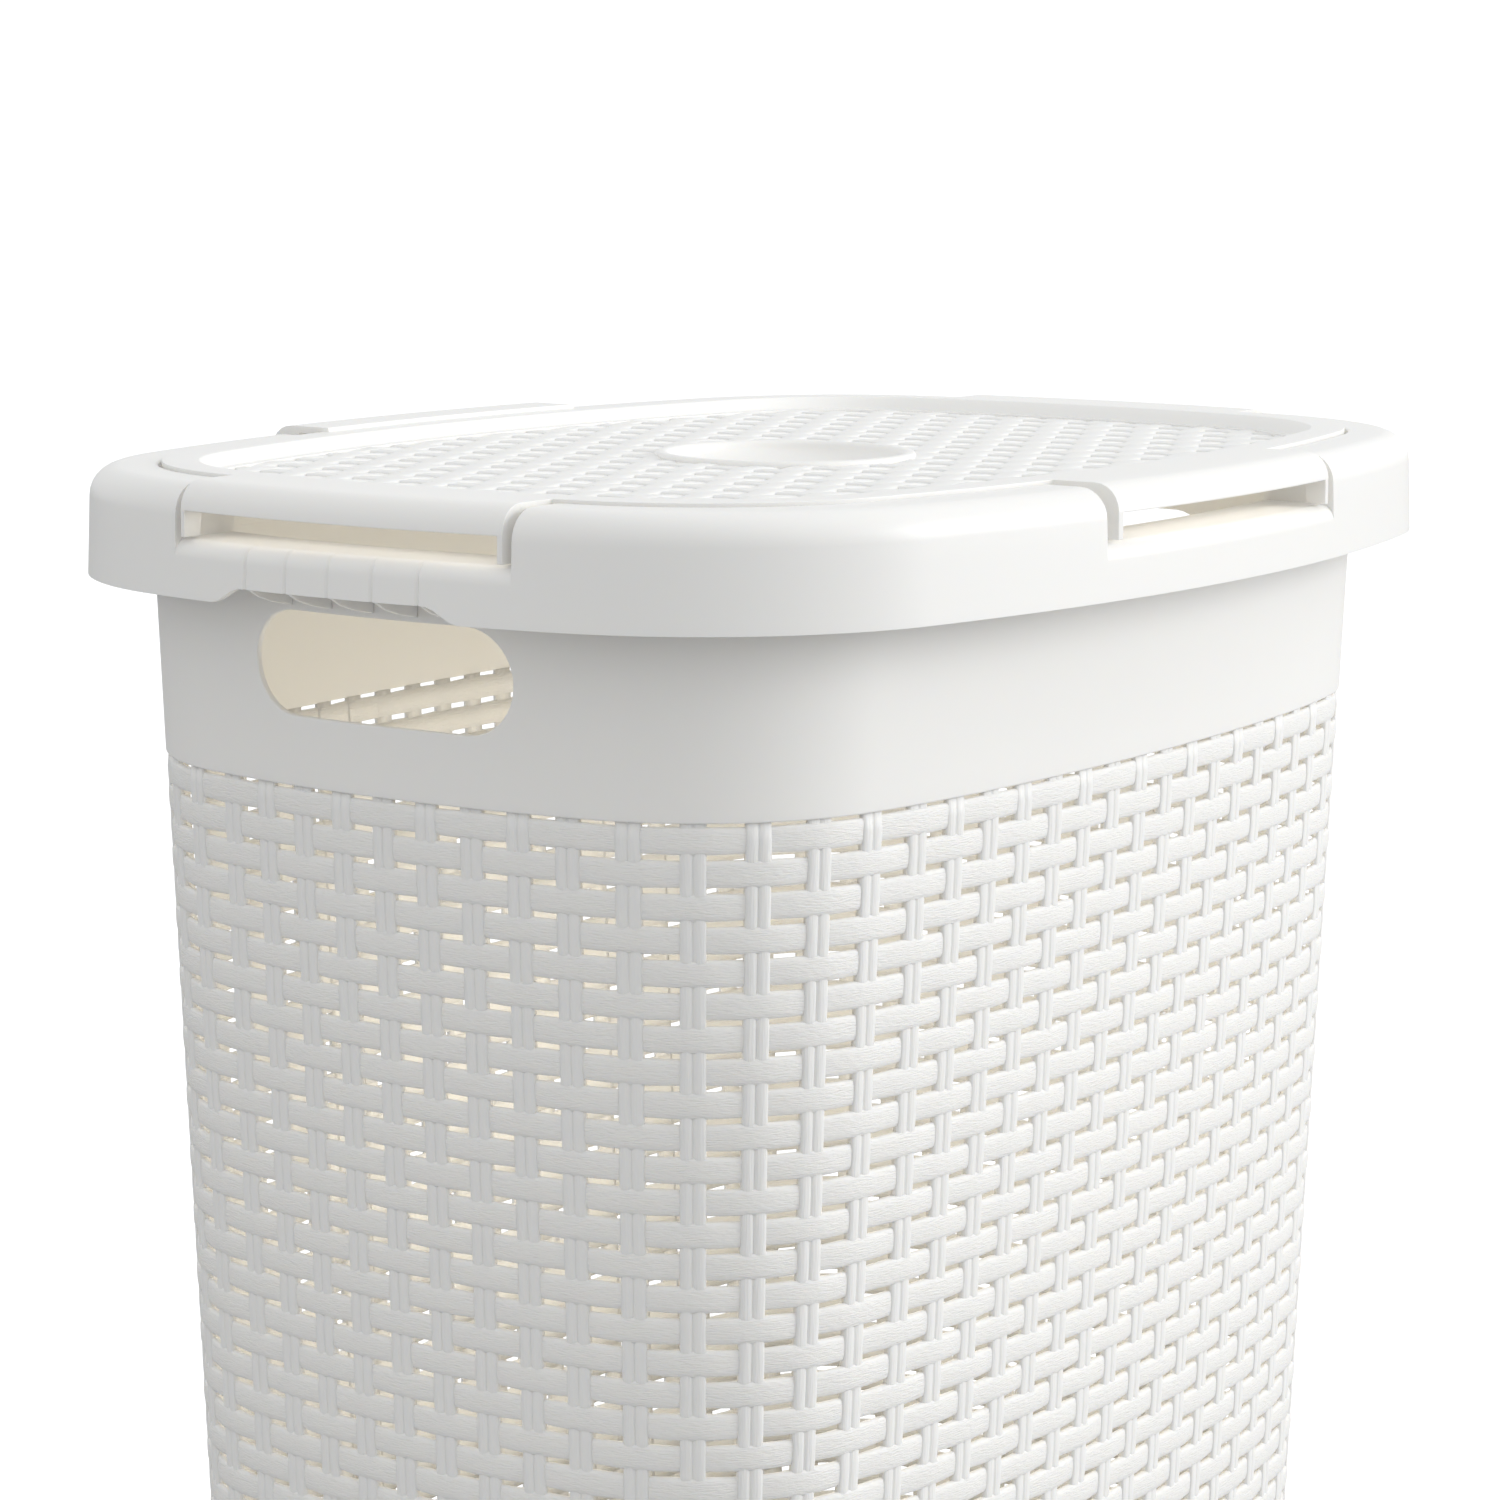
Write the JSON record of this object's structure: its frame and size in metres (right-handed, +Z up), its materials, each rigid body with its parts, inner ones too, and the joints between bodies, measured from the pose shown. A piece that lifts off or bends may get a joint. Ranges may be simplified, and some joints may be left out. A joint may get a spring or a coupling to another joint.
{
  "type": "laundry hamper with hinged lid",
  "caption": "Tall tapered plastic laundry hamper with a wicker-look wall, hand holes in both ends, a deep rim collar and a hinged lid with bridge-shaped grip tabs.",
  "frame": {"origin": "centre of the footprint, on the floor that the base stands on", "axes": "+X along the long axis, +Y towards the hinge side, +Z up"},
  "size_m": [0.4446, 0.326, 0.535],
  "materials": {
    "basket_plastic": "satin moulded polypropylene, slightly translucent, off-white",
    "weave_plastic": "satin moulded polypropylene with a fine grain along the strips",
    "rim_plastic": "smooth satin moulded polypropylene, white",
    "lid_plastic": "smooth satin moulded polypropylene, white",
    "pin_plastic": "smooth moulded acetal, white"
  },
  "bodies": {
    "basket": {"basket_base": "basket_plastic", "basket_wall": "weave_plastic", "hand_hole_band": "basket_plastic", "rim_collar": "rim_plastic"},
    "lid": {"lid_frame": "lid_plastic", "lid_field": "weave_plastic", "hinge_pin_left": "pin_plastic", "hinge_pin_right": "pin_plastic"}
  },
  "joints": [
    {"name": "lid_hinge", "type": "hinge", "parent": "basket", "child": "lid", "pos_m": [0, 0.1537, 0.527], "axis": [-1, 0, 0], "range_deg": [0, 105]}
  ]
}
